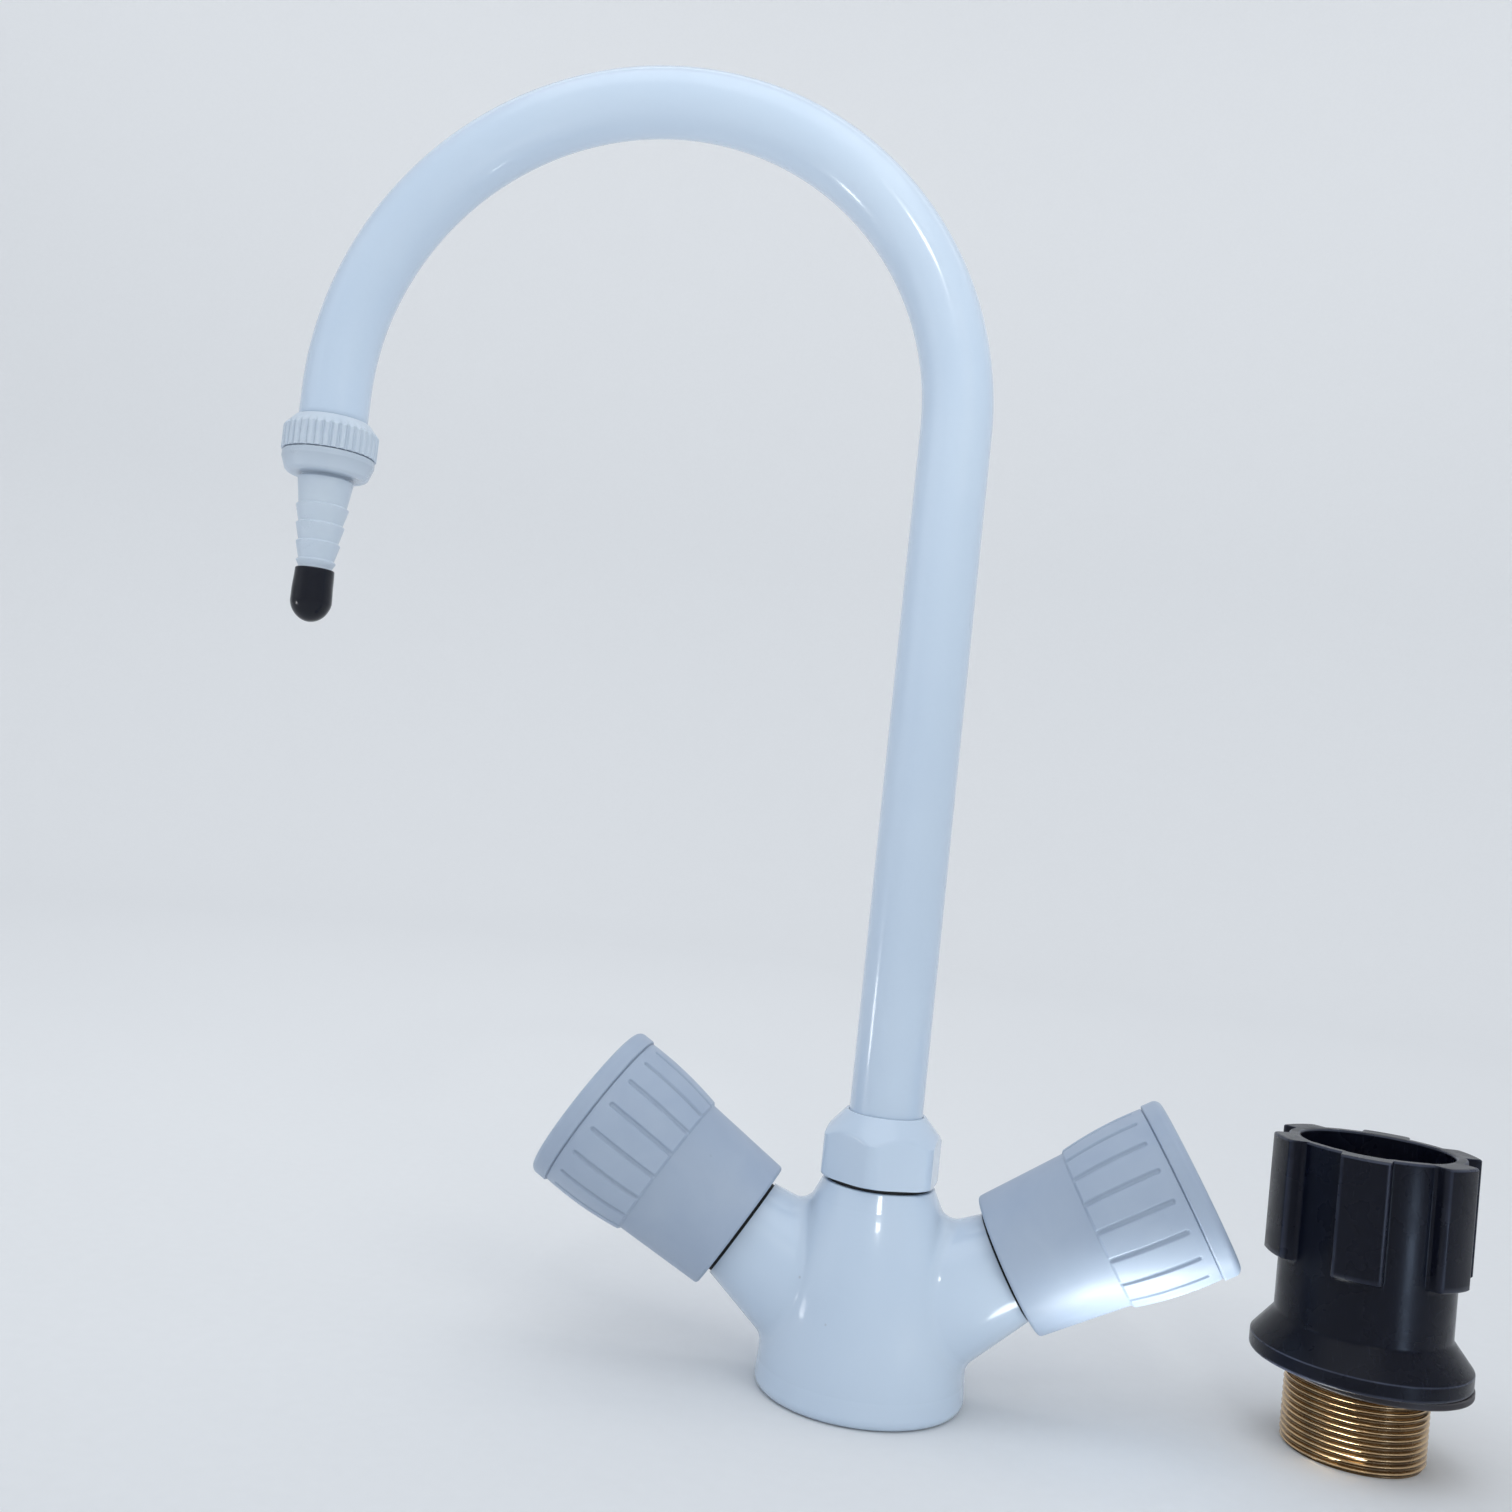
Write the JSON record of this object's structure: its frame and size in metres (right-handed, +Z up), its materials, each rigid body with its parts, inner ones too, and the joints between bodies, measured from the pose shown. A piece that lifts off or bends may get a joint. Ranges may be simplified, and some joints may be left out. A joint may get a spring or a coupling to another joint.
{
  "type": "mixer tap",
  "caption": "Mixer tap with hot and cold handles, a tall swivelling arched spout, a capped hose nozzle, and a separate threaded fixing tube with clamping nut and washer.",
  "frame": {"origin": "centre of the base's bottom face, where the tap stands on the worktop", "axes": "+Z up the riser of the spout, +X towards the cold handle, the spout reaches towards -X and the hot handle is on that side; the picture was taken from -Y"},
  "size_m": [0.321, 0.0656, 0.328],
  "materials": {
    "white_coating": "gloss",
    "handle_plastic": "satin",
    "brass": "turned",
    "steel": "brushed",
    "black_washer": "satin",
    "black_plastic": "satin",
    "black_cap": "satin",
    "rubber": "matte"
  },
  "bodies": {
    "tap_body": {"mixer_body": "white_coating", "base_gasket": "rubber", "spout_split_ring": "steel", "spout_union_nut": "white_coating", "union_seal": "rubber", "hot_bonnet": "brass", "hot_bonnet_gasket": "rubber", "cold_bonnet": "brass", "cold_bonnet_gasket": "rubber", "fixing_shank": "brass"},
    "spout": {"spout_pipe": "white_coating", "spout_tail": "brass", "spout_seals": "rubber", "outlet_collar": "brass", "nozzle_ring_nut": "white_coating", "nozzle_gasket": "rubber", "hose_nozzle": "white_coating"},
    "nozzle_cover": {"nozzle_cap": "black_cap"},
    "hot_control": {"hot_handle": "handle_plastic", "hot_handle_cap": "handle_plastic", "hot_handle_screw": "steel", "hot_spindle": "brass", "hot_spindle_seals": "rubber", "hot_circlip": "steel"},
    "hot_valve": {"hot_plunger": "brass", "hot_seat_washer": "rubber", "hot_washer_screw": "steel"},
    "cold_control": {"cold_handle": "handle_plastic", "cold_handle_cap": "handle_plastic", "cold_handle_screw": "steel", "cold_spindle": "brass", "cold_spindle_seals": "rubber", "cold_circlip": "steel"},
    "cold_valve": {"cold_plunger": "brass", "cold_seat_washer": "rubber", "cold_washer_screw": "steel"},
    "loose_washer": {"fixing_washer": "black_washer"},
    "clamping_nut": {"fixing_nut": "black_plastic"}
  },
  "joints": [
    {"name": "spout_swivel", "type": "hinge", "parent": "tap_body", "child": "spout", "pos_m": [0, 0, 0], "axis": [0, 0, 1], "continuous": true},
    {"name": "nozzle_cap_pull", "type": "slide", "parent": "spout", "child": "nozzle_cover", "axis": [0, 0, -1], "range_m": [0, 0.02]},
    {"name": "hot_turn", "type": "hinge", "parent": "tap_body", "child": "hot_control", "pos_m": [0, 0, 0.01535], "axis": [-0.8572, 0, 0.515], "range_deg": [0, 630]},
    {"name": "hot_lift", "type": "slide", "parent": "tap_body", "child": "hot_valve", "axis": [-0.8572, 0, 0.515], "range_m": [0, 0.0035]},
    {"name": "cold_turn", "type": "hinge", "parent": "tap_body", "child": "cold_control", "pos_m": [0, 0, 0.01535], "axis": [0.8572, 0, 0.515], "range_deg": [0, 630]},
    {"name": "cold_lift", "type": "slide", "parent": "tap_body", "child": "cold_valve", "axis": [0.8572, 0, 0.515], "range_m": [0, 0.0035]},
    {"name": "washer_travel", "type": "slide", "parent": "tap_body", "child": "loose_washer", "axis": [0, 0, 1], "range_m": [-0.00937, 0.02063]},
    {"name": "nut_turn", "type": "hinge", "parent": "loose_washer", "child": "clamping_nut", "pos_m": [0.118, 0.015, 0], "axis": [0, 0, 1], "range_deg": [-2250, 4950]}
  ],
  "couplings": [
    {"joint": "hot_lift", "follows": "hot_turn", "m_per_rad": 0.0003183},
    {"joint": "cold_lift", "follows": "cold_turn", "m_per_rad": 0.0003183},
    {"joint": "washer_travel", "follows": "nut_turn", "m_per_rad": 0.00023873}
  ]
}
